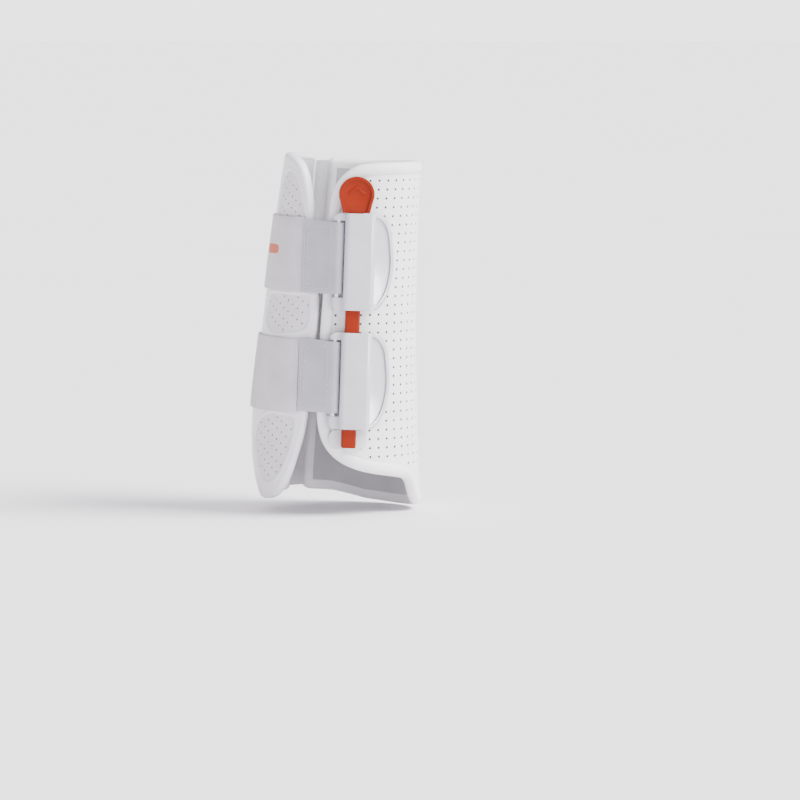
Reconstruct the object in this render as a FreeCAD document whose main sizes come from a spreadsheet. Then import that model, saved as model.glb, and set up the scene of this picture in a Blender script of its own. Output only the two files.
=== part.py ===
import FreeCAD, Part
import math
import os
from FreeCAD import Placement, Rotation, Vector

# Horse tendon boot, millimetres. +Z is up the leg, +X is the front of the leg and -Y is the outer
# (lateral) side, where the two edges meet under two straps. The origin is on the leg's axis, at the
# height of the boot's lowest edge. The wrap is two padded halves, joined on the inner (medial) side by
# a flexible gusset. Two elastic straps come round from the back. Each ends in a clasp, which hooks over
# a coloured stick. The stick slides on a rail that is screwed to the front half.

DIMENSIONS = {
    # thickness of the layers, from the outside in
    "skin_thick": 1.6,
    "foam_thick": 4.4,
    "lining_thick": 1.5,
    "binding_width": 2.6,
    "edge_gap": 0.5,
    "gusset_width": 9.0,
    "mesh_sink": 0.5,
    "mesh_gap": 0.2,
    # elastic straps
    "strap_gap": 0.3,
    "strap_thick": 1.7,
    "strap_width": 51.0,
    "strap_slope": 2.2,
    "upper_strap_height": 177.4,
    "lower_strap_height": 94.6,
    # place of the rail: its middle point and its three angles
    "rail_x": 2.9,
    "rail_y": -41.0,
    "rail_z": 131.0,
    "rail_yaw": 6.5,
    "rail_pitch": 2.09,
    "rail_roll": -1.01,
    "upper_clasp_rise": 43.3,
    "lower_clasp_drop": 37.8,
    # rail and stick, measured outwards from the wrap's face
    "base_lift": 0.6,
    "base_thick": 1.2,
    "base_width": 9.0,
    "foot_width": 26.0,
    "foot_length": 13.4,
    "rail_foot": 85.0,
    "rail_head": 76.1,
    "neck_width": 3.0,
    "neck_tall": 1.6,
    "head_width": 6.0,
    "head_tall": 1.6,
    "slide_play": 0.25,
    "stick_width": 10.0,
    "stick_thick": 6.1,
    "stick_foot": 83.6,
    "stick_taper": 1.6,
    "button_rise": 89.2,
    "button_radius": 12.0,
    "button_thick": 5.4,
    "button_rim": 2.0,
    "button_sink": 1.2,
    # screws and the backing plate inside the foam
    "screw_radius": 0.9,
    "screw_head": 2.6,
    "screw_depth": 4.2,
    "backing_depth": 1.9,
    "backing_thick": 1.0,
    "backing_width": 8.0,
    "backing_length": 156.0,
    # clasp
    "clasp_length": 65.8,
    "left_play": 0.5,
    "hook_play": 4.0,
    "roof_play": 0.4,
    "roof_thick": 2.2,
    "left_wall": 1.7,
    "right_wall": 4.6,
    "wall_foot": 2.0,
    "bar_offset": 11.2,
    "bar_rise": 4.0,
    "bar_radius": 1.6,
    "bar_sink": 3.0,
    "arm_reach": 14.8,
    "arm_top": 5.0,
    "arm_bottom": 8.4,
    "wing_reach": 27.4,
    "wing_rise": 6.8,
    "wing_end": 0.6,
    "wing_thick": 2.2,
    "rim_tall": 1.4,
    "rim_width": 2.0,
    # sewn end of each strap
    "loop_play": 0.1,
    "loop_thick": 1.5,
    "tab_width": 48.6,
    "tab_offset": 2.2,
    "tab_thick": 2.0,
    "seam_across": 35.2,
    "upper_seam_rise": -7.0,
    "lower_seam_rise": -5.4,
}

# The leg form, as level ellipses: height, front line, back line, half width.
SECTIONS = (
    (-6.0, 50.4, -54.6, 43.9),
    (45.0, 48.6, -67.0, 43.35),
    (95.0, 47.4, -63.6, 42.4),
    (145.0, 47.3, -57.2, 41.2),
    (195.0, 48.6, -50.8, 39.9),
    (253.0, 51.3, -42.0, 38.4),
)

# Edges of the wrap seen from the side, x and z. Each runs on past the leg form at its ends.
FAR, LOW = 80.0, -20.0
OUTER_FRONT_EDGE = (
    (FAR, 241.5), (49.7, 241.4), (32.0, 241.5), (18.0, 240.9), (7.6, 239.2), (-0.2, 235.1), (-5.8, 229.8),
    (-9.7, 223.0), (-12.0, 214.2), (-13.4, 203.0), (-15.6, 175.0), (-17.6, 146.0), (-19.6, 120.0),
    (-21.2, 90.0), (-21.4, 68.0), (-19.8, 56.5), (-16.0, 47.5), (-10.4, 40.8), (-2.5, 35.3), (8.0, 31.0),
    (18.0, 28.4), (28.0, 26.5),
)
# Round the front corner the lower edge is given as seen from there: across to the inner side, and z.
CORNER_TURN = -25.0
CORNER_EDGE = (
    (-60.0, 22.0), (-30.0, 26.6), (-18.6, 26.4), (-10.2, 24.8), (-2.0, 22.6), (2.8, 18.4), (6.0, 12.8),
    (10.2, 7.6), (16.0, 4.4), (24.0, 2.3), (34.0, 0.6), (60.0, -6.0),
)
OUTER_BACK_EDGE = (
    (-FAR, 247.0), (-46.0, 246.9), (-40.0, 245.7), (-34.3, 242.0), (-29.7, 234.0), (-26.9, 222.0),
    (-24.6, 206.0), (-22.0, 175.0), (-20.4, 148.0), (-22.2, 120.0), (-25.4, 92.0), (-28.6, 68.0),
    (-31.2, 56.0), (-35.2, 43.5), (-40.0, 30.5), (-45.2, 19.8), (-50.8, 12.6), (-56.6, 9.0), (-62.0, 7.8),
    (-FAR, 7.6),
)
INNER_TOP_EDGE = ((-FAR, 247.0), (-46.0, 246.9), (-22.0, 243.5), (10.0, 240.6), (49.7, 241.3), (FAR, 241.5))
INNER_LOW_EDGE = (
    (-FAR, 7.6), (-62.0, 7.8), (-38.0, 11.0), (-12.0, 7.6), (14.0, 1.8), (34.0, 0.3), (46.0, 1.4),
    (50.1, 2.6), (54.0, 1.6), (FAR, 1.6),
)
# The hinge line of the wrap on the inner side: its x at the origin's height, and its slope.
HINGE_X, HINGE_SLOPE = -36.8, 0.085

# The three mesh windows of the tendon half on the outer side. The inner side has them too, narrower.
WINDOWS = {
    "upper": (
        (-48.4, 198.0), (-46.4, 216.0), (-43.4, 231.5), (-39.5, 236.0), (-35.6, 232.6), (-32.4, 222.0),
        (-29.4, 206.0), (-28.6, 198.0),
    ),
    "middle": ((-56.8, 132.0), (-53.4, 151.0), (-25.6, 151.0), (-26.4, 134.0), (-30.0, 127.5),
               (-52.0, 124.5)),
    "lower": (
        (-64.8, 50.0), (-62.0, 63.0), (-54.0, 69.5), (-36.6, 67.6), (-37.4, 58.0), (-41.6, 43.0),
        (-46.6, 30.0), (-53.0, 22.0), (-58.6, 22.0), (-62.8, 34.0),
    ),
}
INNER_WINDOW_SHARE = 0.62

# The clasp seen from outside: the thumb wing's outline, across and up from the clasp's middle.
WING_OUTLINE = (
    (12.0, 32.9), (19.0, 31.6), (23.2, 26.2), (26.2, 13.0), (27.2, -1.0), (26.2, -12.0), (23.6, -22.0),
    (20.0, -28.6), (16.6, -31.9), (12.0, -32.9),
)

SCREW_PLACES = (-70.0, -25.0, 20.0, 62.0)

doc = FreeCAD.newDocument("tendon_boot")
sheet = doc.addObject("Spreadsheet::Sheet", "sheet")
for row, (alias, value) in enumerate(DIMENSIONS.items(), start=1):
    sheet.set(f"A{row}", alias)
    sheet.set(f"B{row}", str(value))
    sheet.setAlias(f"B{row}", alias)
doc.recompute()
dim = DIMENSIONS


def bind(thing, prop, formula):
    """Tie a length to a formula of sheet cells."""
    thing.setExpression(prop, formula)


# ---------- helpers: booleans, forms and outlines ----------


def boolean(kind, name, base, tool):
    made = doc.addObject(f"Part::{kind}", name)
    made.Base = base
    made.Tool = tool
    return made


def cut(name, base, *tools):
    for k, tool in enumerate(tools):
        base = boolean("Cut", name if k == len(tools) - 1 else f"{name}_step{k}", base, tool)
    return base


def common(name, base, *tools):
    for k, tool in enumerate(tools):
        base = boolean("Common", name if k == len(tools) - 1 else f"{name}_step{k}", base, tool)
    return base


def fuse(name, *shapes):
    made = doc.addObject("Part::MultiFuse", name)
    made.Shapes = list(shapes)
    return made


def leg_form(name, depth):
    """The leg form as a solid loft, drawn in below the wrap's outer face by the given depth."""
    rings = []
    for k, (height, front, back, half_width) in enumerate(SECTIONS):
        ring = doc.addObject("Part::Ellipse", f"{name}_ring{k}")
        bind(ring, "MajorRadius", f"{(front - back) / 2} - ({depth})")
        bind(ring, "MinorRadius", f"{half_width} - ({depth})")
        ring.Placement = Placement(Vector((front + back) / 2, 0, height), Rotation())
        rings.append(ring)
    loft = doc.addObject("Part::Loft", name)
    loft.Sections = rings
    loft.Solid = True
    return loft


def smooth_outline(name, curves, place):
    """A closed sketch: a smooth curve through each list of points, joined end to end by lines."""
    sketch = doc.addObject("Sketcher::SketchObject", name)
    sketch.Placement = place
    last = Vector(*curves[-1][-1], 0)
    for points in curves:
        places = [Vector(x, y, 0) for x, y in points]
        if (last - places[0]).Length > 1e-6:
            sketch.addGeometry(Part.LineSegment(last, places[0]))
        if len(places) > 2:
            curve = Part.BSplineCurve()
            curve.interpolate(places)
            sketch.addGeometry(curve)
        else:
            sketch.addGeometry(Part.LineSegment(*places))
        last = places[-1]
    return sketch


def rounded_outline(name, corners, place):
    """A closed sketch of straight lines, each corner given as x, y and its radius."""
    sketch = doc.addObject("Sketcher::SketchObject", name)
    sketch.Placement = place
    ends = []
    for k, (x, y, radius) in enumerate(corners):
        here = Vector(x, y, 0)
        if radius == 0:
            ends.append((here, None, here))
            continue
        back = (Vector(*corners[k - 1][:2], 0) - here).normalize()
        ahead = (Vector(*corners[(k + 1) % len(corners)][:2], 0) - here).normalize()
        half = back.getAngle(ahead) / 2
        reach = radius / math.tan(half)
        bulge = here + (back + ahead).normalize() * (radius / math.sin(half) - radius)
        ends.append((here + back * reach, bulge, here + ahead * reach))
    for k, (start, bulge, end) in enumerate(ends):
        if bulge is not None:
            sketch.addGeometry(Part.Arc(start, bulge, end))
        following = ends[(k + 1) % len(ends)][0]
        if (following - end).Length > 1e-6:
            sketch.addGeometry(Part.LineSegment(end, following))
    return sketch


def circle_outline(name, x, y, radius, place):
    sketch = doc.addObject("Sketcher::SketchObject", name)
    sketch.Placement = place
    sketch.addGeometry(Part.Circle(Vector(x, y, 0), Vector(0, 0, 1), radius))
    return sketch


def push(name, profile, length):
    """The profile pushed along its own normal; the length is a number or a formula."""
    made = doc.addObject("Part::Extrusion", name)
    made.Base = profile
    made.DirMode = "Normal"
    made.Solid = True
    if isinstance(length, str):
        bind(made, "LengthFwd", length)
    else:
        made.LengthFwd = length
    return made


# Sketch planes. A side view lies in XZ, with its normal along -Y, away from the leg on the outer side.
SIDE_TURN = Rotation(Vector(1, 0, 0), 90)
LEVEL_TURN = Rotation(Vector(1, 0, 0), 180)
DEEP = 70.0


def side_prism(name, profile_name, curves, outer):
    """A prism with a smooth side-view outline, through the outer side of the leg form or the inner."""
    start = 0.0 if outer else DEEP
    profile = smooth_outline(profile_name, curves, Placement(Vector(0, start, 0), SIDE_TURN))
    return push(name, profile, DEEP)


class Frame:
    """A local frame on the wrap: u goes across to the front, v outwards and w up along the rail."""

    def __init__(self, place):
        self.place = place

    def raised(self, rise):
        return Frame(self.place * Placement(Vector(0, 0, rise), Rotation()))

    def seen_from_outside(self, v):
        """A sketch plane of u and w, at the height v, whose normal goes outwards."""
        return self.place * Placement(Vector(0, -v, 0), SIDE_TURN)

    def seen_along(self, w):
        """A sketch plane of u and v, at the height w, whose normal goes down."""
        return self.place * Placement(Vector(0, 0, w), LEVEL_TURN)

    def plate(self, name, corners, v, thick):
        return push(name, rounded_outline(f"{name}_outline", corners, self.seen_from_outside(v)), thick)

    def bar(self, name, corners, w, length):
        return push(name, rounded_outline(f"{name}_outline", corners, self.seen_along(w)), length)

    def post(self, name, u, w, radius, v, length):
        return push(name, circle_outline(f"{name}_outline", u, w, radius, self.seen_from_outside(v)), length)

    def rod(self, name, u, v, radius, w, length):
        return push(name, circle_outline(f"{name}_outline", u, v, radius, self.seen_along(w)), length)


def box_corners(left, right, low, high, radius=0.0):
    return ((left, low, radius), (right, low, radius), (right, high, radius), (left, high, radius))


parts = {}


def keep(label, thing):
    thing.Label = label
    parts[label] = thing
    return thing


# ---------- layers of the wrap ----------

SKIN = "sheet.skin_thick"
FOAM = f"{SKIN} + sheet.foam_thick"
LINING = f"{FOAM} + sheet.lining_thick"
STRAP_UNDER = "0 - sheet.strap_gap"
STRAP_TOP = "0 - sheet.strap_gap - sheet.strap_thick"

face = leg_form("wrap_face", "0")
mesh_face = leg_form("mesh_face", "sheet.mesh_sink")
skin_back = leg_form("skin_back", SKIN)
foam_back = leg_form("foam_back", FOAM)
lining_face = leg_form("lining_face", LINING)
strap_under = leg_form("strap_under", STRAP_UNDER)
strap_top = leg_form("strap_top", STRAP_TOP)

skin_layer = cut("skin_layer", face, skin_back)
mesh_layer = cut("mesh_layer", mesh_face, skin_back)
foam_layer = cut("foam_layer", skin_back, foam_back)
lining_layer = cut("lining_layer", foam_back, lining_face)
full_layer = cut("full_layer", face, lining_face)
strap_layer = cut("strap_layer", strap_top, strap_under)


# ---------- outlines of the two halves ----------


def hinge_x(z):
    return HINGE_X + HINGE_SLOPE * z


def side_share(x):
    """How much of a step along the wrap shows in side view: all at its middle, none at its front."""
    long, wide = 56.5, 41.5
    reach = min(abs(x + 7.0) / long, 0.999)
    return math.sqrt((1 - reach ** 2) / (1 - reach ** 2 * (1 - (wide / long) ** 2)))


def drawn_in(points, distance):
    """The points moved along the wrap by the distance, to their right as seen along the curve."""
    moved = []
    for k, (x, z) in enumerate(points):
        (x0, z0), (x1, z1) = points[max(k - 1, 0)], points[min(k + 1, len(points) - 1)]
        share = side_share(x)
        across, up = (x1 - x0) / share, z1 - z0
        length = math.hypot(across, up)
        moved.append((x + up / length * distance * share, z - across / length * distance))
    return moved


def up_to_hinge(points, limit, front):
    """The points in front of the hinge line or behind it, ending at the given distance from it."""
    side = 1 if front else -1
    gaps = [side * (x - hinge_x(z) - limit) for x, z in points]
    kept = []
    for k, point in enumerate(points):
        if k > 0 and gaps[k - 1] * gaps[k] < 0:
            (x0, z0), (x1, z1) = points[k - 1], point
            share = gaps[k - 1] / (gaps[k - 1] - gaps[k])
            kept.append((x0 + (x1 - x0) * share, z0 + (z1 - z0) * share))
        if gaps[k] > 1.0:
            kept.append(point)
    return kept


def half_prism(name, outer_edge, front, limit, margin):
    """A half of the wrap in side view, drawn in from its edges by the margin."""
    outer = drawn_in(outer_edge[::-1] if front else outer_edge, margin)
    below_corner = [[(FAR, LOW), (outer[0][0], LOW)]] if front else []
    top = up_to_hinge(drawn_in(INNER_TOP_EDGE, margin), limit, front)
    low = up_to_hinge(drawn_in(INNER_LOW_EDGE[::-1], margin), limit, front)
    sides = fuse(
        f"{name}_sides",
        side_prism(f"{name}_outer", f"{name}_outer_edge", [outer, *below_corner], True),
        side_prism(f"{name}_inner", f"{name}_inner_edge", [top, low], False),
    )
    if not front:
        return sides
    corner = [(across, z + margin) for across, z in CORNER_EDGE]
    under = [(corner[-1][0], 2 * LOW), (corner[0][0], 2 * LOW)]
    corner_place = Placement(Vector(), Rotation(Vector(0, 0, 1), CORNER_TURN + 90) * SIDE_TURN)
    below = smooth_outline(f"{name}_corner_edge", [corner, under], corner_place)
    return cut(name, sides, push(f"{name}_corner", below, 2 * DEEP))


half_gap = dim["edge_gap"] / 2
gusset_back = -half_gap - dim["gusset_width"]
margin = dim["binding_width"]
front_whole = half_prism("front_whole", OUTER_FRONT_EDGE, True, half_gap, 0.0)
front_field = half_prism("front_field", OUTER_FRONT_EDGE, True, half_gap + margin, margin)
tendon_whole = half_prism("tendon_whole", OUTER_BACK_EDGE, False, gusset_back, 0.0)
tendon_field = half_prism("tendon_field", OUTER_BACK_EDGE, False, gusset_back - margin, margin)

gusset_edges = [
    [(hinge_x(z) + x, z) for z in (-10.0, 256.0)] for x in (gusset_back + 0.1, -half_gap)
]
gusset_strip = side_prism("gusset_strip", "gusset_strip_edges",
                          [gusset_edges[0], gusset_edges[1][::-1]], False)
back_edges = [
    up_to_hinge(INNER_TOP_EDGE, -half_gap, False), up_to_hinge(INNER_LOW_EDGE[::-1], -half_gap, False)
]
gusset_ends = side_prism("gusset_ends", "gusset_end_edges", back_edges, False)

# ---------- tendon half ----------

window_prisms, mesh_prisms = [], {}
for window, points in WINDOWS.items():
    left = min(x for x, z in points)
    for side, share in (("outer", 1.0), ("inner", INNER_WINDOW_SHARE)):
        loop = [(left + (x - left) * share, z) for x, z in points]
        plan = rounded_outline(
            f"{side}_{window}_window_edge",
            [(x, z, 2.0) for x, z in loop],
            Placement(Vector(0, 0.0 if side == "outer" else DEEP, 0), SIDE_TURN),
        )
        window_prisms.append(push(f"{side}_{window}_window", plan, DEEP))
        centre = Vector(sum(x for x, z in loop) / len(loop), 0, sum(z for x, z in loop) / len(loop))
        shrink = []
        for x, z in loop:
            way = Vector(x, 0, z) - centre
            spot = centre + way * (1 - dim["mesh_gap"] * 1.5 / way.Length)
            shrink.append((spot.x, spot.z, 2.0))
        small = rounded_outline(f"{side}_{window}_mesh_edge", shrink, plan.Placement)
        mesh_prisms[f"{side}_mesh_{window}"] = push(f"{side}_{window}_mesh", small, DEEP)

windows = fuse("windows", *window_prisms)
keep("tendon_shell", cut("tendon_shell", common("tendon_skin", skin_layer, tendon_field), windows))
for label, mesh_prism in mesh_prisms.items():
    keep(label, common(label, mesh_layer, mesh_prism))
keep("tendon_foam", common("tendon_foam", foam_layer, tendon_field))
keep("tendon_lining", common("tendon_lining", lining_layer, tendon_field))
tendon_rim = cut("tendon_rim", tendon_whole, tendon_field)
keep("tendon_binding", common("tendon_binding", full_layer, tendon_rim))
keep("inner_gusset", common("inner_gusset", full_layer, gusset_strip, gusset_ends))

# ---------- front half ----------

rail = Frame(Placement(
    Vector(dim["rail_x"], dim["rail_y"], dim["rail_z"]),
    Rotation(dim["rail_yaw"], dim["rail_pitch"], dim["rail_roll"]),
))
base_top = dim["base_lift"] + dim["base_thick"]
neck_top = base_top + dim["neck_tall"]
head_top = neck_top + dim["head_tall"]
backing_top = -dim["backing_depth"]
backing_low = backing_top - dim["backing_thick"]
half_base, half_foot = dim["base_width"] / 2, dim["foot_width"] / 2
foot, head = -dim["rail_foot"], dim["rail_head"]
backing_half = dim["backing_length"] / 2

screw_holes = fuse("screw_holes", *[
    rail.post(f"screw_hole{k}", 0, w, dim["screw_radius"] + 0.15, -10.0, 10.0 + dim["screw_depth"] + 0.2)
    for k, w in enumerate(SCREW_PLACES)
])
backing_room = fuse("backing_room", rail.plate(
    "backing_slot", box_corners(-half_base, half_base, -backing_half - 0.6, backing_half + 0.6),
    backing_low - 0.2, 4.0,
), *[
    rail.post(f"head_room{k}", 0, w, dim["screw_head"] + 0.4, backing_low - 1.6, 3.0)
    for k, w in enumerate(SCREW_PLACES)
])
keep("front_panel", common("front_panel", cut("drilled_skin", skin_layer, screw_holes), front_field))
keep("front_foam", common("front_foam", cut("pocketed_foam", foam_layer, backing_room), front_field))
# Refining these two breaks the faces beside their holes and pocket.
for label in ("front_panel", "front_foam"):
    parts[label].Refine = False
keep("front_lining", common("front_lining", lining_layer, front_field))
front_rim = cut("front_rim", front_whole, front_field)
keep("front_binding", common("front_binding", full_layer, front_rim))

backing = rail.plate(
    "backing_blank",
    box_corners(-dim["backing_width"] / 2, dim["backing_width"] / 2, -backing_half, backing_half, 3.0),
    backing_low, "sheet.backing_thick",
)
keep("rail_backing_plate", cut("rail_backing_plate", backing, screw_holes))
for k, w in enumerate(SCREW_PLACES):
    keep(f"rail_screw_{k + 1}", fuse(
        f"rail_screw_{k + 1}",
        rail.post(f"screw_head{k}", 0, w, dim["screw_head"], backing_low - 1.1, 1.1),
        rail.post(f"screw_shank{k}", 0, w, dim["screw_radius"], backing_low,
                  dim["screw_depth"] - backing_low),
    ))

half_neck, half_head = dim["neck_width"] / 2, dim["head_width"] / 2
rib_low, rib_long = -dim["stick_foot"] + 2.0, dim["stick_foot"] - 2.0 + head
rail_blank = fuse(
    "rail_blank",
    rail.plate("rail_base_plate", box_corners(-half_base, half_base, foot, head + 2.0, 3.0),
               dim["base_lift"], "sheet.base_thick"),
    rail.plate("rail_foot_plate", box_corners(-half_foot, half_foot, foot, foot + dim["foot_length"], 6.0),
               dim["base_lift"], "sheet.base_thick"),
    rail.bar("rail_rib", (
        (-half_neck, base_top - 0.2, 0), (-half_neck, neck_top, 0), (-half_head, neck_top, 0),
        (-half_head, head_top, 0.4), (half_head, head_top, 0.4), (half_head, neck_top, 0),
        (half_neck, neck_top, 0), (half_neck, base_top - 0.2, 0),
    ), head, rib_long),
)
keep("rail_base", cut("rail_base", rail_blank, screw_holes))

# ---------- stick ----------

play = dim["slide_play"]
stick_low, half_stick = base_top + play, dim["stick_width"] / 2
stick_top = stick_low + dim["stick_thick"]
stick_end, button_at = -dim["stick_foot"], dim["button_rise"]
taper = dim["stick_taper"]
stick_rod = common(
    "stick_rod",
    rail.bar("stick_section", box_corners(-half_stick, half_stick, stick_low, stick_top, 1.4),
             button_at, "sheet.button_rise + sheet.stick_foot"),
    rail.plate("stick_outline", (
        (-half_stick - 1, button_at + 1, 0), (-half_stick - 1, stick_end + taper, 0),
        (-4.2, stick_end, 1.0), (4.2, stick_end, 1.0),
        (half_stick + 1, stick_end + taper, 0), (half_stick + 1, button_at + 1, 0),
    ), stick_low - 1, dim["stick_thick"] + 2),
)
button_low = stick_top + 0.9 - dim["button_thick"]
# The button is a disc that runs down into a broad neck, which ends just above the upper clasp.
button = fuse(
    "button_disc",
    rail.post("button_blank", 0, button_at, dim["button_radius"], button_low, "sheet.button_thick"),
    rail.plate("button_neck", (
        (-9.2, button_at - 12.6, 0.8), (9.2, button_at - 12.6, 0.8), (11.55, button_at - 2.85, 0),
        (-11.55, button_at - 2.85, 0),
    ), button_low, "sheet.button_thick"),
)
dish_low = button_low + dim["button_thick"] - dim["button_sink"]
button_dish = fuse(
    "button_dish",
    rail.post("dish_round", 0, button_at, dim["button_radius"] - dim["button_rim"], dish_low, 3.0),
    rail.plate("dish_neck", (
        (-6.6, button_at - 15.0, 0), (6.6, button_at - 15.0, 0), (9.55, button_at - 2.4, 0),
        (-9.55, button_at - 2.4, 0),
    ), dish_low, 3.0),
)
neck_room, head_room = half_neck + play, half_head + play
slot = rail.bar("stick_slot", (
    (-neck_room, stick_low - 1, 0), (-neck_room, neck_top - play, 0), (-head_room, neck_top - play, 0),
    (-head_room, head_top + play, 0), (head_room, head_top + play, 0), (head_room, neck_top - play, 0),
    (neck_room, neck_top - play, 0), (neck_room, stick_low - 1, 0),
), head, 220.0)
keep("release_stick", cut("release_stick", fuse("stick_blank", stick_rod, button), button_dish, slot))

# ---------- straps and clasps ----------

bar_u, bar_v = -dim["bar_offset"], dim["bar_rise"]
hook_left = -half_stick - dim["left_play"]
hook_right = half_stick + dim["hook_play"]
roof_low = stick_top + dim["roof_play"]
roof_top = roof_low + dim["roof_thick"]
half_clasp = dim["clasp_length"] / 2
outer_left, outer_right = hook_left - dim["left_wall"], hook_right + dim["right_wall"]
eye_inner = dim["bar_radius"] + dim["loop_play"]
eye_outer = eye_inner + dim["loop_thick"]


def clasp(name, frame):
    """The hook that goes over the stick, and the bar that carries it in the strap's loop."""
    foot = dim["wall_foot"]
    barrel = frame.bar(f"{name}_barrel", (
        (outer_left, foot, 0), (outer_left, roof_top, 3.2), (outer_right, roof_top, 3.6),
        (outer_right, foot, 0.8), (hook_right, foot, 0), (hook_right, roof_low, 0.8),
        (hook_left, roof_low, 0.3), (hook_left, foot, 0),
    ), half_clasp, "sheet.clasp_length")
    arm_shape = ((-dim["arm_reach"], foot - 0.4, 1.6), (hook_left, foot - 0.4, 0), (hook_left, 6.8, 0),
                 (-dim["arm_reach"], 6.8, 2.4))
    arms = (
        frame.bar(f"{name}_top_arm", arm_shape, half_clasp, "sheet.arm_top"),
        frame.bar(f"{name}_low_arm", arm_shape, -half_clasp + dim["arm_bottom"], "sheet.arm_bottom"),
    )
    reach, rise, end = dim["wing_reach"], dim["wing_rise"], dim["wing_end"]
    start = outer_right - 0.6

    def slab(label, tall):
        low, high = -dim["wing_thick"], tall
        return frame.bar(f"{name}_{label}", (
            (start, rise + low, 0), (reach + 2, end + low - 0.8, 0), (reach + 2, end + high - 0.8, 0),
            (start, rise + high, 0),
        ), half_clasp, "sheet.clasp_length")

    wing_cut = push(f"{name}_wing_outline",
                    smooth_outline(f"{name}_wing_edge", [WING_OUTLINE], frame.seen_from_outside(-20.0)), 60.0)
    dish_edge = [(u - dim["rim_width"] if u > outer_right else u, w * 0.93) for u, w in WING_OUTLINE]
    dish = push(f"{name}_dish_outline",
                smooth_outline(f"{name}_dish_edge", [dish_edge], frame.seen_from_outside(-20.0)), 60.0)
    wing = common(f"{name}_wing", slab("wing_slab", 0.0), wing_cut)
    rim = cut(f"{name}_rim", common(f"{name}_rim_blank", slab("rim_slab", dim["rim_tall"]), wing_cut), dish)
    round_ends = frame.plate(f"{name}_round_ends", (
        (-dim["arm_reach"] - 1, -half_clasp, 6.0), (40.0, -half_clasp, 0), (40.0, half_clasp, 0),
        (-dim["arm_reach"] - 1, half_clasp, 6.0),
    ), -20.0, 60.0)
    bar_from, bar_long = half_clasp - dim["bar_sink"], dim["clasp_length"] - 2 * dim["bar_sink"]
    bar_hole = frame.rod(f"{name}_bar_hole", bar_u, bar_v, dim["bar_radius"] + 0.02, bar_from + 0.05,
                         bar_long + 0.1)
    blank = common(f"{name}_blank", fuse(f"{name}_solid", barrel, *arms, wing, rim), round_ends)
    keep(f"{name}_clasp", cut(f"{name}_clasp", blank, bar_hole))
    keep(f"{name}_strap_bar",
         frame.rod(f"{name}_strap_bar", bar_u, bar_v, dim["bar_radius"], bar_from, bar_long))


def strap_end(name, frame, seam_rise):
    """The sewn strap end: a flat tab that comes off the seam and loops round the clasp's bar."""
    seam = Vector(-dim["seam_across"], seam_rise, 0)
    eye = Vector(bar_u, bar_v, 0)
    way = eye - seam
    tilt = math.atan2(way.y, way.x) + math.asin(eye_outer / way.Length)
    along = Vector(math.cos(tilt), math.sin(tilt), 0)
    inward = Vector(along.y, -along.x, 0)
    touch = seam + along * math.sqrt(way.Length ** 2 - eye_outer ** 2)
    under = inward * dim["tab_thick"]
    chamfer = along * 0.8
    corners = [(p.x, p.y, 0) for p in (seam, touch, touch + under, seam + under + chamfer)]
    tab_top = dim["tab_offset"] + dim["tab_width"] / 2
    band = frame.bar(f"{name}_tab_plate", corners, tab_top, "sheet.tab_width")
    loop = frame.rod(f"{name}_tab_loop", bar_u, bar_v, eye_outer, tab_top, "sheet.tab_width")
    hole = frame.rod(f"{name}_tab_hole", bar_u, bar_v, eye_inner, tab_top + 1, dim["tab_width"] + 2)
    keep(f"{name}_strap_tab", cut(f"{name}_strap_tab", fuse(f"{name}_tab_blank", band, loop), hole))


def elastic(name, height):
    """The elastic strap, from its seam with the tab round the back to the inner side."""
    half = dim["strap_width"] / 2
    band_place = Placement(Vector(0, DEEP, height), SIDE_TURN) * Placement(
        Vector(), Rotation(Vector(0, 0, 1), -dim["strap_slope"]))
    band_edge = rounded_outline(f"{name}_band_edge", box_corners(-120, 120, -half, half), band_place)
    band = push(f"{name}_band", band_edge,
                2 * DEEP)
    front_of_seam = rail.bar(f"{name}_seam_room", box_corners(-dim["seam_across"] - 0.5, 150.0, -41.0, 60.0),
                             130.0, 300.0)
    end_edges = [[(hinge_x(-10) - 4.0, -10.0), (hinge_x(256) - 4.0, 256.0)], [(120.0, 256.0), (120.0, -10.0)]]
    past_hinge = side_prism(f"{name}_past_hinge", f"{name}_past_hinge_edge", end_edges, False)
    keep(f"{name}_elastic_strap", cut(
        f"{name}_elastic_strap", common(f"{name}_strap_band", strap_layer, band), front_of_seam, past_hinge))


upper = rail.raised(dim["upper_clasp_rise"])
lower = rail.raised(-dim["lower_clasp_drop"])
for name, frame, seam_rise, height in (
    ("upper", upper, dim["upper_seam_rise"], dim["upper_strap_height"]),
    ("lower", lower, dim["lower_seam_rise"], dim["lower_strap_height"]),
):
    elastic(name, height)
    strap_end(name, frame, seam_rise)
    clasp(name, frame)

# ---------- checks and files ----------

doc.recompute()
for thing in doc.Objects:
    if "Invalid" in thing.State or "Error" in thing.State:
        raise RuntimeError(f"{thing.Label} did not build: {thing.State}")

os.makedirs("parts", exist_ok=True)
for label, thing in parts.items():
    shape = thing.Shape
    if shape.isNull() or not shape.isValid():
        raise RuntimeError(f"{label} has no valid shape")
    shape.exportStep(f"parts/{label}.step")
print(len(parts), "parts")
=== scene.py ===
import math

import bmesh
import bpy
import numpy as np
from mathutils import Matrix, Vector
from mathutils.geometry import delaunay_2d_cdt


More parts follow.
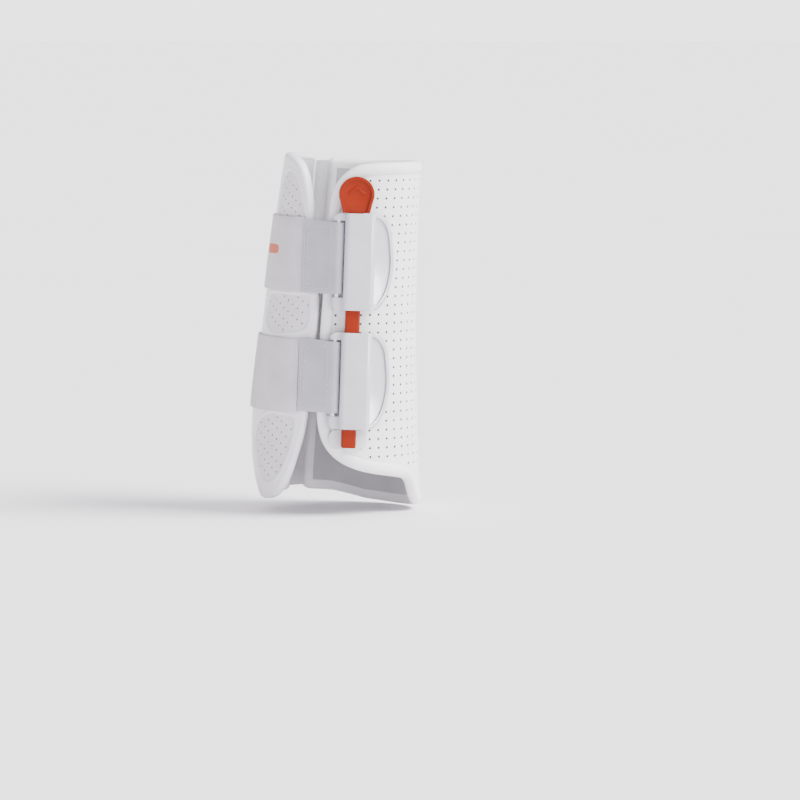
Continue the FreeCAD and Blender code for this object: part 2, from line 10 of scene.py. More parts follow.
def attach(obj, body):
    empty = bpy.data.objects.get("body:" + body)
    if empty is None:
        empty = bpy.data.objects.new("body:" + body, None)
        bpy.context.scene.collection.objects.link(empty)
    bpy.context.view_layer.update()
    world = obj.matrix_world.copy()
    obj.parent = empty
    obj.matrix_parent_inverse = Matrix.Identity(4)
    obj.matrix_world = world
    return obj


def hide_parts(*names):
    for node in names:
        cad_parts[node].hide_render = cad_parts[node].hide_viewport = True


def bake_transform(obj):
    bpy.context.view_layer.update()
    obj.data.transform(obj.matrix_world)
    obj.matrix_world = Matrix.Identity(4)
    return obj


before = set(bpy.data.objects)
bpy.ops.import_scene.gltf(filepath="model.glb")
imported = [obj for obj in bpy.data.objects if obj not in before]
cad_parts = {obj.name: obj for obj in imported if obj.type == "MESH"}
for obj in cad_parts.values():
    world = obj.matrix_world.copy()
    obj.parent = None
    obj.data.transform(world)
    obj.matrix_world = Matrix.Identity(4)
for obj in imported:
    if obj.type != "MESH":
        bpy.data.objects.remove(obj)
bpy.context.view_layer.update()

# Lengths are in millimetres until a mesh is made. The wrap is drawn flat, on s and z: s is the length
# along the wrap from the rail, positive towards the front, and z is the height. Depth goes inwards
# from the wrap's outer face.
MM = 0.001

# ---------- the leg form, as part.py has it ----------

# height, front line, back line and half width of the level ellipses
SECTIONS = (
    (-6.0, 50.4, -54.6, 43.9),
    (45.0, 48.6, -67.0, 43.35),
    (95.0, 47.4, -63.6, 42.4),
    (145.0, 47.3, -57.2, 41.2),
    (195.0, 48.6, -50.8, 39.9),
    (253.0, 51.3, -42.0, 38.4),
)
# the rail's middle, its lean to the front, and the angles of its frame in degrees
RAIL_X, RAIL_Y, RAIL_Z, RAIL_SLOPE = 2.9, -41.0, 131.0, 0.0342
RAIL_TURN, RAIL_PITCH, RAIL_ROLL = 6.5, 2.09, -1.01
# the hinge line on the inner side, and how far each half's edge stops from it
HINGE_X, HINGE_SLOPE = -36.8, 0.085
FRONT_GAP, TENDON_GAP = 0.25, 9.25
# heights of the straps' middles at the leg's axis, and how far they fall per millimetre to the front
UPPER_STRAP, LOWER_STRAP, STRAP_SLOPE = 177.4, 94.6, 0.0384
# where on the flat drawing the elastic meets the strap's end
SEAM_S = -35.3
# The wall is 7.5 thick, and the lining shows just inside its inner face.
LINING_DEPTH = 7.4
EDGE_STEP = 1.5


def leg_section(z):
    """Centre, half length and half width of the leg form at the heights z."""
    z = np.asarray(z, float)
    total = np.zeros(z.shape + (3,))
    for i, here in enumerate(SECTIONS):
        weight = np.ones_like(z)
        for j, other in enumerate(SECTIONS):
            if i != j:
                weight = weight * (z - other[0]) / (here[0] - other[0])
        total += weight[..., None] * np.array(here[1:])
    front, back, half_width = total[..., 0], total[..., 1], total[..., 2]
    return (front + back) / 2, (front - back) / 2, half_width


# Turns are in radians round the leg from its front line, and negative on the outer side.
ROW_Z = np.arange(-14.0, 266.0, 1.0)
COLUMN_S = np.arange(-175.0, 200.0, 0.5)
TURNS = np.linspace(-5.2, 3.4, 1800)


def length_tables():
    """The length along the wrap at each turn round the leg, and the other way round."""
    centre, long, wide = leg_section(ROW_Z)
    rail_x = RAIL_X + (ROW_Z - RAIL_Z) * RAIL_SLOPE
    rail_turn = -np.arccos((rail_x - centre) / long)
    speed = np.sqrt((long[:, None] * np.sin(TURNS)) ** 2 + (wide[:, None] * np.cos(TURNS)) ** 2)
    steps = (speed[:, 1:] + speed[:, :-1]) / 2 * (TURNS[1] - TURNS[0])
    lengths = np.concatenate([np.zeros((len(ROW_Z), 1)), np.cumsum(steps, axis=1)], axis=1)
    for row in range(len(ROW_Z)):
        lengths[row] -= np.interp(rail_turn[row], TURNS, lengths[row])
    turns = np.array([np.interp(COLUMN_S, lengths[row], TURNS) for row in range(len(ROW_Z))])
    return lengths, turns


S_OF_TURN, TURN_OF_S = length_tables()


def look_up(table, rows, columns):
    """Values of a table between its rows and columns."""
    rows = np.clip(rows, 0, table.shape[0] - 1.001)
    columns = np.clip(columns, 0, table.shape[1] - 1.001)
    r, c = rows.astype(int), columns.astype(int)
    fr, fc = rows - r, columns - c
    top = table[r, c] * (1 - fc) + table[r, c + 1] * fc
    low = table[r + 1, c] * (1 - fc) + table[r + 1, c + 1] * fc
    return top * (1 - fr) + low * fr


def turn_at(s, z):
    """The turn round the leg at a flat place."""
    return look_up(TURN_OF_S, z - ROW_Z[0], (s - COLUMN_S[0]) / (COLUMN_S[1] - COLUMN_S[0]))


def s_at(turn, z):
    """The flat place at a turn round the leg."""
    turn, z = np.broadcast_arrays(np.asarray(turn, float), np.asarray(z, float))
    return look_up(S_OF_TURN, z - ROW_Z[0], (turn - TURNS[0]) / (TURNS[1] - TURNS[0]))


def on_wrap(s, z, depth=0.0):
    """Places in metres for points of the flat drawing, at a depth below the outer face."""
    s, z, depth = np.broadcast_arrays(np.asarray(s, float), np.asarray(z, float), np.asarray(depth, float))
    turn = turn_at(s, z)
    centre, long, wide = leg_section(z)
    x = centre + (long - depth) * np.cos(turn)
    y = (wide - depth) * np.sin(turn)
    return np.stack([x, y, z], axis=-1) * MM


def s_of_x(x, z, outer, behind=False):
    """The flat place of a point known by its x and z, on the outer side or the inner side."""
    centre, long, _ = leg_section(z)
    turn = np.arccos(np.clip((np.asarray(x, float) - centre) / long, -0.9995, 0.9995))
    if outer:
        turn = -turn
    elif behind:
        turn = turn - 2 * math.pi
    return s_at(turn, z)


# ---------- the rail's own frame ----------


class Rail:
    """u goes across to the front, v outwards and w up along the rail, from the rail's middle."""

    def __init__(self, rise=0.0):
        turn = Matrix.Rotation(math.radians(RAIL_TURN), 3, "Z")
        pitch = Matrix.Rotation(math.radians(RAIL_PITCH), 3, "Y")
        roll = Matrix.Rotation(math.radians(RAIL_ROLL), 3, "X")
        matrix = np.array(turn @ pitch @ roll)
        self.axes = np.stack([matrix[:, 0], -matrix[:, 1], matrix[:, 2]])
        self.origin = np.array([RAIL_X, RAIL_Y, RAIL_Z]) + self.axes[2] * rise

    def place(self, u, v, w):
        """Places in metres for points of the rail's frame."""
        u, v, w = np.broadcast_arrays(*(np.asarray(k, float) for k in (u, v, w)))
        return (self.origin + np.stack([u, v, w], axis=-1) @ self.axes) * MM


RAIL = Rail()
# the middles of the two clasps, up and down along the rail
UPPER = Rail(43.3)
LOWER = Rail(-37.8)

# ---------- meshes ----------


def new_piece(name, verts, faces, materials, slots=None, smooth=True, uvs=None):
    """A mesh piece from points in metres. slots gives each face's material, uvs one pair per vertex."""
    mesh = bpy.data.meshes.new(name)
    mesh.from_pydata([tuple(v) for v in np.asarray(verts).tolist()], [],
                     [tuple(int(i) for i in f) for f in faces])
    for made in materials:
        mesh.materials.append(made)
    if slots is not None:
        mesh.polygons.foreach_set("material_index", np.asarray(slots, dtype=np.int32))
    mesh.polygons.foreach_set("use_smooth", np.full(len(mesh.polygons), smooth))
    if uvs is not None:
        layer = mesh.uv_layers.new(name="flat")
        loops = np.zeros(len(mesh.loops), dtype=np.int32)
        mesh.loops.foreach_get("vertex_index", loops)
        layer.data.foreach_set("uv", np.asarray(uvs, dtype=np.float32)[loops].ravel())
    mesh.validate()
    mesh.update()
    piece = bpy.data.objects.new(name, mesh)
    bpy.context.scene.collection.objects.link(piece)
    return piece


def grid_faces(rows, columns, closed_rows=False, closed_columns=False, first=0):
    """Quads over a grid of points that is stored row by row."""
    faces = []
    for r in range(rows if closed_rows else rows - 1):
        for c in range(columns if closed_columns else columns - 1):
            r2, c2 = (r + 1) % rows, (c + 1) % columns
            faces.append((first + r * columns + c, first + r * columns + c2, first + r2 * columns + c2,
                          first + r2 * columns + c))
    return faces


def sharp_by_angle(piece, degrees):
    """Keeps smooth shading but leaves clear edges crisp."""
    piece.data.set_sharp_from_angle(angle=math.radians(degrees))


def face_outwards(piece):
    """Turns every face of a closed piece outwards."""
    bm = bmesh.new()
    bm.from_mesh(piece.data)
    bmesh.ops.recalc_face_normals(bm, faces=bm.faces)
    bm.to_mesh(piece.data)
    bm.free()


# ---------- flat outlines ----------


def smooth_line(points, step):
    """A smooth curve through the points, at an even step."""
    points = np.asarray(points, float)
    padded = np.concatenate([[2 * points[0] - points[1]], points, [2 * points[-1] - points[-2]]])
    fine = []
    for k in range(1, len(padded) - 2):
        p0, p1, p2, p3 = padded[k - 1:k + 3]
        d01, d12, d23 = (max(np.linalg.norm(b - a), 1e-6) ** 0.5 for a, b in ((p0, p1), (p1, p2), (p2, p3)))
        m1 = (p2 - p1) - d12 * ((p2 - p0) / (d01 + d12) - (p1 - p0) / d01)
        m2 = (p2 - p1) + d12 * ((p3 - p2) / d23 - (p3 - p1) / (d12 + d23))
        t = np.linspace(0, 1, 16, endpoint=False)[:, None]
        fine.append((2 * t ** 3 - 3 * t ** 2 + 1) * p1 + (t ** 3 - 2 * t ** 2 + t) * m1
                    + (-2 * t ** 3 + 3 * t ** 2) * p2 + (t ** 3 - t ** 2) * m2)
    fine.append(points[-1:])
    return resample(np.concatenate(fine), step)


def resample(line, step, closed=False):
    """The line at an even step."""
    if closed:
        line = np.concatenate([line, line[:1]])
    along = np.concatenate([[0], np.cumsum(np.linalg.norm(np.diff(line, axis=0), axis=1))])
    count = max(int(round(along[-1] / step)), 3)
    spots = np.linspace(0, along[-1], count + 1)
    out = np.stack([np.interp(spots, along, line[:, k]) for k in range(line.shape[1])], axis=1)
    return out[:-1] if closed else out


def round_corner(before, corner, after, reach, count=8):
    """Points of a soft corner between two directions, cut back by the reach."""
    b = corner + (before - corner) / np.linalg.norm(before - corner) * reach
    a = corner + (after - corner) / np.linalg.norm(after - corner) * reach
    t = np.linspace(0, 1, count)[:, None]
    return (1 - t) ** 2 * b + 2 * t * (1 - t) * corner + t ** 2 * a


def area_of(loop):
    """The area inside a closed loop, negative if it runs clockwise."""
    x, y = loop[:, 0], loop[:, 1]
    return 0.5 * np.sum(x * np.roll(y, -1) - np.roll(x, -1) * y)


def inward(loop):
    """Unit normals of a closed loop, pointing into it."""
    ahead = np.roll(loop, -1, axis=0) - np.roll(loop, 1, axis=0)
    ahead /= np.linalg.norm(ahead, axis=1)[:, None]
    normal = np.stack([-ahead[:, 1], ahead[:, 0]], axis=1)
    return normal if area_of(loop) > 0 else -normal


def distance_to(points, loop, signed=True):
    """Distance of points from a closed loop, positive inside it."""
    points = np.asarray(points, float)
    a, b = loop, np.roll(loop, -1, axis=0)
    ab = b - a
    best = np.full(len(points), 1e9)
    inside = np.zeros(len(points), bool)
    for start in range(0, len(points), 4000):
        p = points[start:start + 4000]
        ap = p[:, None, :] - a[None]
        t = np.clip((ap * ab).sum(-1) / (ab * ab).sum(-1), 0, 1)
        gap = ap - t[..., None] * ab
        best[start:start + 4000] = np.sqrt((gap ** 2).sum(-1)).min(axis=1)
        if signed:
            above = (a[None, :, 1] > p[:, None, 1]) != (b[None, :, 1] > p[:, None, 1])
            rise = np.where(np.abs(ab[:, 1]) < 1e-9, 1e-9, ab[:, 1])
            cross = (p[:, None, 1] - a[None, :, 1]) * ab[None, :, 0] / rise[None] + a[None, :, 0]
            inside[start:start + 4000] = ((above & (p[:, None, 0] < cross)).sum(axis=1) % 2) == 1
    return np.where(inside, best, -best) if signed else best


# Edges of the wrap from the side, x and z, as part.py has them, without their run past the leg form.
OUTER_FRONT_EDGE = (
    (32.0, 241.5), (18.0, 240.9), (7.6, 239.2), (-0.2, 235.1), (-5.8, 229.8), (-9.7, 223.0), (-12.0, 214.2),
    (-13.4, 203.0), (-15.6, 175.0), (-17.6, 146.0), (-19.6, 120.0), (-21.2, 90.0), (-21.4, 68.0),
    (-19.8, 56.5), (-16.0, 47.5), (-10.4, 40.8), (-2.5, 35.3), (8.0, 31.0), (18.0, 28.4), (28.0, 26.5),
)
OUTER_BACK_EDGE = (
    (-40.0, 245.7), (-34.3, 242.0), (-29.7, 234.0), (-26.9, 222.0), (-24.6, 206.0), (-22.0, 175.0),
    (-20.4, 148.0), (-22.2, 120.0), (-25.4, 92.0), (-28.6, 68.0), (-31.2, 56.0), (-35.2, 43.5), (-40.0, 30.5),
    (-45.2, 19.8), (-50.8, 12.6), (-56.0, 9.2),
)
# The front lower corner, seen from 25 degrees round: across to the inner side, and z.
CORNER_TURN = math.radians(-25.0)
CORNER_EDGE = ((-10.2, 24.8), (-2.0, 22.6), (2.8, 18.4), (6.0, 12.8), (10.2, 7.6), (16.0, 4.4), (24.0, 2.3),
               (34.0, 0.6))


def hinge_x(z):
    """Where the hinge line is at a height."""
    return HINGE_X + HINGE_SLOPE * z


def corner_s(across, z):
    """The flat place of a point of the front lower corner."""
    centre, long, wide = leg_section(z)
    turns = np.linspace(-1.5, 0.6, 400)
    seen = (-math.sin(CORNER_TURN) * (centre + long * np.cos(turns))
            + math.cos(CORNER_TURN) * wide * np.sin(turns))
    return float(s_at(np.interp(across, seen, turns), z))


def from_side(points, outer, behind=False):
    """Flat places of points seen from the side."""
    return [(float(s_of_x(x, z, outer, behind)), z) for x, z in points]


def front_outline():
    """The front half's edge on the flat drawing, as a closed loop."""
    low_corner = [(corner_s(a, z), z) for a, z in CORNER_EDGE]
    low_inner = from_side([(34.0, 0.3), (14.0, 1.8), (-12.0, 7.6)], False)
    top_inner = from_side([(-8.0, 242.1), (10.0, 240.6), (30.0, 240.5), (44.0, 241.1)], False)
    top_front = [(float(s_of_x(50.4, 241.3, False)) - 14.0, 241.4), (float(s_of_x(42.0, 241.0, True)), 241.4)]
    hinge_low = (float(s_of_x(hinge_x(9.5) + FRONT_GAP, 9.5, False)), 9.5)
    hinge_top = (float(s_of_x(hinge_x(243.0) + FRONT_GAP, 243.0, False)), 243.0)
    outer = smooth_line([top_inner[2], top_inner[3], *top_front, *from_side(OUTER_FRONT_EDGE, True),
                         *low_corner, *low_inner[:2]], EDGE_STEP)
    low_end = np.array(low_inner[2])
    hinge = np.array([(float(s_of_x(hinge_x(z) + FRONT_GAP, z, False)), z)
                      for z in np.arange(20.0, 236.0, 4.0)])
    loop = np.concatenate([
        outer, [low_end],
        round_corner(low_end, np.array(hinge_low), hinge[0], 8.0), hinge,
        round_corner(hinge[-1], np.array(hinge_top), np.array(top_inner[0]), 7.0), [top_inner[1]],
    ])
    return resample(loop, EDGE_STEP, closed=True)


def tendon_outline():
    """The tendon half's edge on the flat drawing, as a closed loop."""
    top = from_side([(-24.0, 244.0), (-34.0, 245.7), (-41.0, 246.7)], False, True)
    back_top = float(s_at(-math.pi, 247.0))
    low = from_side([(-60.0, 8.0), (-53.0, 8.7)], False, True)
    back_low = float(s_at(-math.pi, 7.9))
    outer = smooth_line([
        *top[1:], (back_top, 246.95), (back_top + 9.0, 246.8), *from_side(OUTER_BACK_EDGE, True),
        (back_low, 7.9), *low], EDGE_STEP)
    hinge = np.array([(float(s_of_x(hinge_x(z) - TENDON_GAP, z, False, True)), z)
                      for z in np.arange(22.0, 238.0, 4.0)])
    hinge_low = np.array((float(s_of_x(hinge_x(9.8) - TENDON_GAP, 9.8, False, True)), 9.8))
    hinge_top = np.array((float(s_of_x(hinge_x(245.0) - TENDON_GAP, 245.0, False, True)), 245.0))
    loop = np.concatenate([
        outer, round_corner(np.array(low[-1]), hinge_low, hinge[0], 4.0), hinge,
        round_corner(hinge[-1], hinge_top, np.array(top[1]), 5.0),
    ])
    return resample(loop, EDGE_STEP, closed=True)


def inset_loops(loop, insets):
    """The closed loop drawn in by each of the rising distances, with the same number of points."""
    loops, here, done = [], loop.copy(), 0.0
    for inset in insets:
        while done < inset - 1e-9:
            step = min(0.3, inset - done)
            here = here + inward(here) * step
            ahead = np.roll(here, -1, axis=0) - np.roll(here, 1, axis=0)
            ahead /= np.linalg.norm(ahead, axis=1)[:, None] + 1e-9
            middle = (np.roll(here, -1, axis=0) + np.roll(here, 1, axis=0)) / 2 - here
            here = here + ahead * (middle * ahead).sum(axis=1)[:, None] * 0.5
            done += step
        loops.append(here.copy())
    return loops


# ---------- the wrap's skins ----------


def on_face(points, depth=0.0):
    """Places in metres for an array of flat points."""
    return on_wrap(points[:, 0], points[:, 1], depth)


def wrap_normals(points):
    """Outward normals of the wrap's face at flat points."""
    s, z = points[:, 0], points[:, 1]
    across = on_wrap(s + 0.5, z) - on_wrap(s - 0.5, z)
    up = on_wrap(s, np.minimum(z + 0.5, 255.0)) - on_wrap(s, z - 0.5)
    normal = np.cross(across, up)
    return normal / np.linalg.norm(normal, axis=1)[:, None]


def ring(centre, radius, count):
    """Points evenly spaced round a circle."""
    angles = np.arange(count) * 2 * math.pi / count
    return np.asarray(centre) + radius * np.stack([np.cos(angles), np.sin(angles)], axis=1)


# how far in from an edge its sewn dip reaches
DIP_REACH = 2.6


def skin(name, edge, materials, openings=(), holes=(), hole_radius=0.9, hole_deep=1.3, fill=6.0, depth=0.0,
         seam=0.0, extra=(), inside=False):
    """A sheet of the wrap inside an edge, less its openings, with small blind holes punched in it.

    It dips by the seam depth along its edge, and extra gives loops of points that carry the dip.
    """
    loops = [edge, *openings]
    points, owner, edges = [], [], []
    for loop in loops:
        first = len(points)
        points += loop.tolist()
        owner += [-1] * len(loop)
        edges += [(first + k, first + (k + 1) % len(loop)) for k in range(len(loop))]
    sides = 8
    for k, centre in enumerate(holes):
        first = len(points)
        points += ring(centre, hole_radius, sides).tolist()
        owner += [k] * sides
        edges += [(first + j, first + (j + 1) % sides) for j in range(sides)]
    low, high = edge.min(axis=0), edge.max(axis=0)
    # The fill starts off the round numbers, so that it seldom lines up with the outlines.
    grid = np.stack(np.meshgrid(np.arange(low[0] + 0.37, high[0], fill),
                                np.arange(low[1] + 0.41, high[1], fill)), axis=-1).reshape(-1, 2)
    room = distance_to(grid, edge) > fill * 0.35
    for opening in openings:
        room &= distance_to(grid, opening) < -fill * 0.3
    grid = grid[room]
    for loop in extra:
        grid = np.concatenate([grid, loop])
    if len(holes):
        centres = np.asarray(holes)
        near = np.array([np.min(((centres - g) ** 2).sum(axis=1)) for g in grid])
        grid = grid[near > (hole_radius + 0.9) ** 2]
    points += grid.tolist()
    owner += [-1] * len(grid)
    flat, _, faces, from_points, _, _ = delaunay_2d_cdt([Vector(p) for p in points], edges, [], 0, 1e-6)
    flat = np.array([tuple(p) for p in flat])
    whose = np.array([owner[src[0]] if src else -1 for src in from_points])
    middles = np.array([flat[list(f)].mean(axis=0) for f in faces])
    kept = distance_to(middles, edge) > 0
    for opening in openings:
        kept &= distance_to(middles, opening) < 0
    faces = [f for f, ok in zip(faces, kept)
             if ok and not (whose[f[0]] >= 0 and whose[f[0]] == whose[f[1]] == whose[f[2]])]
    faces = [tuple(f) if area_of(flat[list(f)]) > 0 else tuple(reversed(f)) for f in faces]
    dip = depth + seam * np.clip(1 - distance_to(flat, edge, signed=False) / DIP_REACH, 0, 1) ** 2
    verts, uvs, slots = [on_face(flat, dip)], [flat], [0] * len(faces)
    count, tops = len(flat), len(faces)
    for centre in holes:
        rim = np.concatenate([ring(centre, hole_radius, sides), ring(centre, hole_radius * 0.8, sides)])
        verts.append(np.concatenate([on_face(rim[:sides], depth), on_face(rim[sides:], depth + hole_deep)]))
        uvs.append(rim)
        faces += [(count + (j + 1) % sides, count + j, count + sides + j, count + sides + (j + 1) % sides)
                  for j in range(sides)]
        faces.append(tuple(count + sides + j for j in range(sides)))
        slots += [0] * sides + [1]
        count += 2 * sides
    piece = new_piece(name, np.concatenate(verts), faces, materials, slots, uvs=np.concatenate(uvs) * MM)
    mesh = piece.data
    if inside:
        mesh.flip_normals()
        return piece
    normals = np.zeros((len(mesh.loops), 3))
    face_normals = wrap_normals(flat)
    whose_loop = np.zeros(len(mesh.loops), dtype=np.int32)
    mesh.loops.foreach_get("vertex_index", whose_loop)
    first_wall = mesh.polygons[tops].loop_start if len(mesh.polygons) > tops else len(mesh.loops)
    normals[:first_wall] = face_normals[whose_loop[:first_wall]]
    for polygon in list(mesh.polygons)[tops:]:
        for k in polygon.loop_indices:
            normals[k] = polygon.normal
    mesh.normals_split_custom_set(normals.tolist())
    return piece


def sweep(name, loop, section, made):
    """A border that runs round a closed loop; section gives each line's inset and depth."""
    order = sorted({inset for inset, _ in section})
    by_inset = dict(zip(order, inset_loops(loop, order)))
    rows = [by_inset[inset] for inset, _ in section]
    verts = np.concatenate([on_face(row, depth) for row, (_, depth) in zip(rows, section)])
    along = np.concatenate([[0], np.cumsum(np.linalg.norm(np.diff(loop, axis=0), axis=1))])
    across = np.concatenate([[0], np.cumsum(np.linalg.norm(np.diff(np.array(section), axis=0), axis=1))])
    uvs = np.concatenate([np.stack([along, np.full(len(along), a)], axis=1) for a in across])
    return new_piece(name, verts, grid_faces(len(rows), len(loop), closed_columns=True), [made],
                     uvs=uvs * MM)


def panel_holes():
    """Centres of the front panel's holes: level rows, and columns that bow a little to the back."""
    row_pitch, column_pitch = 6.09, 6.43
    row, column = np.meshgrid(np.arange(-5, 35), np.arange(-1, 30))
    z = 40.2 + row_pitch * row
    bow = 3.3 * ((z - 135.0) / 90.0) ** 2
    s = np.where(column < 0, -11.0, 6.3 + column_pitch * column) + bow
    places = np.stack([s, z], axis=-1).reshape(-1, 2)
    # The only column behind the stick is at mid-height, and the rail's foot covers a few holes.
    behind = (places[:, 0] < 0) & ((places[:, 1] < 88) | (places[:, 1] > 186))
    foot_reach = np.where(places[:, 1] < 47.5, 7.8, 14.2)
    foot = (np.abs(places[:, 0]) < foot_reach) & (places[:, 1] > 44.0) & (places[:, 1] < 61.5)
    under_stick = (np.abs(places[:, 0]) < 6.2) & (places[:, 1] < 232.0)
    return places[~behind & ~foot & ~under_stick]


def window_holes(low, high):
    """Centres of a window's fine holes, in rows that fall towards the front."""
    column_pitch, row_pitch, fall = 3.9, 7.6, 2.6
    column, row = np.meshgrid(np.arange(int((high[0] - low[0]) / column_pitch) + 1), np.arange(-12, 40))
    places = np.stack([low[0] + 1.2 + column_pitch * column, low[1] + row_pitch * row - fall * column],
                      axis=-1).reshape(-1, 2)
    return places[(places[:, 1] > low[1]) & (places[:, 1] < high[1])]


# ---------- materials ----------


def material(name, colour, rough, metallic=0.0, specular=0.5, coat=0.0, sheen=0.0):
    """A plain material, with every constant on the shader's own socket."""
    made = bpy.data.materials.new(name)
    made.use_nodes = True
    shader = made.node_tree.nodes["Principled BSDF"]
    shader.inputs["Base Color"].default_value = (*colour, 1.0)
    shader.inputs["Roughness"].default_value = rough
    shader.inputs["Metallic"].default_value = metallic
    shader.inputs["Specular IOR Level"].default_value = specular
    shader.inputs["Coat Weight"].default_value = coat
    shader.inputs["Coat Roughness"].default_value = 0.15
    shader.inputs["Sheen Weight"].default_value = sheen
    return made


def node(tree, kind, **inputs):
    """A new node with its inputs set by name."""
    made = tree.nodes.new(kind)
    for key, value in inputs.items():
        made.inputs[key.replace("_", " ")].default_value = value
    return made


def coordinates(tree, flat=False):
    """Object places in metres, or the flat drawing's UVs."""
    if flat:
        made = tree.nodes.new("ShaderNodeUVMap")
        made.uv_map = "flat"
        return made.outputs["UV"]
    return tree.nodes.new("ShaderNodeTexCoord").outputs["Object"]


def arithmetic(tree, operation, *terms):
    """A sum of node outputs and numbers, or another operation on them."""
    made = tree.nodes.new("ShaderNodeMath")
    made.operation = operation
    for slot, value in enumerate(terms):
        if hasattr(value, "is_output"):
            tree.links.new(value, made.inputs[slot])
        else:
            made.inputs[slot].default_value = value
    return made.outputs[0]


def noise(tree, place, size, detail=3.0):
    """Noise whose blotches are about size metres wide."""
    made = node(tree, "ShaderNodeTexNoise", Scale=1.0 / size, Detail=detail)
    tree.links.new(place, made.inputs["Vector"])
    return made.outputs["Fac"]


def cells(tree, place, size):
    """A grain of rounded cells about size metres wide."""
    made = node(tree, "ShaderNodeTexVoronoi", Scale=1.0 / size)
    tree.links.new(place, made.inputs["Vector"])
    return made.outputs["Distance"]


def ribs(tree, place, pitch, axis):
    """A sine ripple along one axis of the flat drawing."""
    apart = tree.nodes.new("ShaderNodeSeparateXYZ")
    tree.links.new(place, apart.inputs[0])
    turned = arithmetic(tree, "MULTIPLY", apart.outputs[axis], 2 * math.pi / pitch)
    return arithmetic(tree, "SINE", turned)


def relief(made, height, strength, distance):
    """Bumps on a material's surface."""
    tree = made.node_tree
    bump = node(tree, "ShaderNodeBump", Strength=strength, Distance=distance)
    tree.links.new(height, bump.inputs["Height"])
    tree.links.new(bump.outputs["Normal"], tree.nodes["Principled BSDF"].inputs["Normal"])


def tint(made, factor, dark, light, low=0.3, high=0.7):
    """Colours the surface between two near shades by a pattern."""
    tree = made.node_tree
    ramp = tree.nodes.new("ShaderNodeValToRGB")
    ramp.color_ramp.elements[0].position, ramp.color_ramp.elements[1].position = low, high
    ramp.color_ramp.elements[0].color, ramp.color_ramp.elements[1].color = (*dark, 1.0), (*light, 1.0)
    tree.links.new(factor, ramp.inputs[0])
    tree.links.new(ramp.outputs["Color"], tree.nodes["Principled BSDF"].inputs["Base Color"])


def roughen(made, factor, low, high):
    """Gloss that varies with a pattern."""
    tree = made.node_tree
    spread = tree.nodes.new("ShaderNodeMapRange")
    spread.inputs["To Min"].default_value, spread.inputs["To Max"].default_value = low, high
    tree.links.new(factor, spread.inputs["Value"])
    tree.links.new(spread.outputs["Result"], tree.nodes["Principled BSDF"].inputs["Roughness"])


def shade(colour, by):
    """The colour made lighter or darker."""
    return tuple(min(c * by, 1.0) for c in colour)


def grained(name, colour, grain, bump, rough, coat=0.0, sheen=0.0, specular=0.5):
    """Coated fabric, leather or moulded plastic: cells of grain, soft blotches and uneven gloss."""
    made = material(name, colour, rough, specular=specular, coat=coat, sheen=sheen)
    tree = made.node_tree
    place = coordinates(tree)
    fine, wide = cells(tree, place, grain), noise(tree, place, 0.018)
    height = arithmetic(tree, "ADD", fine, arithmetic(tree, "MULTIPLY", noise(tree, place, grain * 3), 0.6))
    relief(made, height, bump, grain * 0.35)
    tint(made, wide, shade(colour, 0.94), shade(colour, 1.03))
    roughen(made, fine, rough - 0.06, rough + 0.08)
    return made


def woven(name, colour, pitch, bump, slant=0.0):
    """Woven webbing on the flat drawing: warp and weft ripples, turned for a twill."""
    made = material(name, colour, 0.82, specular=0.25, sheen=0.12)
    tree = made.node_tree
    place = coordinates(tree, flat=True)
    if slant:
        turned = tree.nodes.new("ShaderNodeMapping")
        turned.inputs["Rotation"].default_value = (0, 0, math.radians(slant))
        tree.links.new(place, turned.inputs["Vector"])
        place = turned.outputs["Vector"]
    warp, weft = ribs(tree, place, pitch, 0), ribs(tree, place, pitch * (2.4 if slant else 0.8), 1)
    crossed = arithmetic(tree, "MULTIPLY", warp, weft)
    weave = arithmetic(tree, "ADD", warp, arithmetic(tree, "MULTIPLY", crossed, 0.8))
    relief(made, arithmetic(tree, "ADD", weave, noise(tree, coordinates(tree), 0.0006)), bump, 0.00012)
    blotches = noise(tree, coordinates(tree), 0.02)
    spread = arithmetic(tree, "ADD", arithmetic(tree, "MULTIPLY", weave, 0.12), blotches)
    tint(made, spread, shade(colour, 0.86), shade(colour, 1.05), 0.3, 0.75)
    return made


def brushed(name, colour):
    """Metal with fine streaks."""
    made = material(name, colour, 0.32, metallic=1.0)
    tree = made.node_tree
    stretched = tree.nodes.new("ShaderNodeMapping")
    stretched.inputs["Scale"].default_value = (1.0, 1.0, 0.05)
    tree.links.new(coordinates(tree), stretched.inputs["Vector"])
    streaks = noise(tree, stretched.outputs["Vector"], 0.0004)
    relief(made, streaks, 0.25, 0.00005)
    roughen(made, streaks, 0.24, 0.42)
    return made


WHITE_PANEL = grained("white_panel", (0.80, 0.79, 0.81), 0.0011, 0.35, 0.50)
WHITE_BORDER = grained("white_border", (0.80, 0.79, 0.81), 0.0010, 0.30, 0.46)
HOLE_FLOOR = grained("hole_floor", (0.22, 0.21, 0.22), 0.0008, 0.3, 0.85)
MOULDED = grained("moulded_white", (0.70, 0.68, 0.71), 0.0007, 0.16, 0.40, coat=0.06)
WINDOW = grained("window_mesh", (0.62, 0.60, 0.63), 0.0006, 0.40, 0.62)
LINING = grained("lining_grey", (0.46, 0.45, 0.47), 0.0009, 0.60, 0.90, sheen=0.4)
GUSSET = woven("gusset_knit", (0.58, 0.56, 0.59), 0.0011, 0.55)
ELASTIC = woven("elastic_white", (0.57, 0.54, 0.575), 0.0010, 0.55)
# The webbing is a light grey, and its colour is darkened further with painted shade, for the clasp's shadow
# on it and its turn away from the light.
TWILL = woven("twill_grey_with_painted_shade", (0.40, 0.39, 0.435), 0.0012, 0.6, slant=38.0)
THREAD = grained("thread", (0.47, 0.46, 0.51), 0.0004, 0.5, 0.7)
GLOSS = grained("gloss_white", (0.48, 0.475, 0.52), 0.0035, 0.012, 0.20, coat=0.5)
ORANGE = grained("orange_plastic", (0.20, 0.013, 0.001), 0.0030, 0.012, 0.32, specular=0.14)
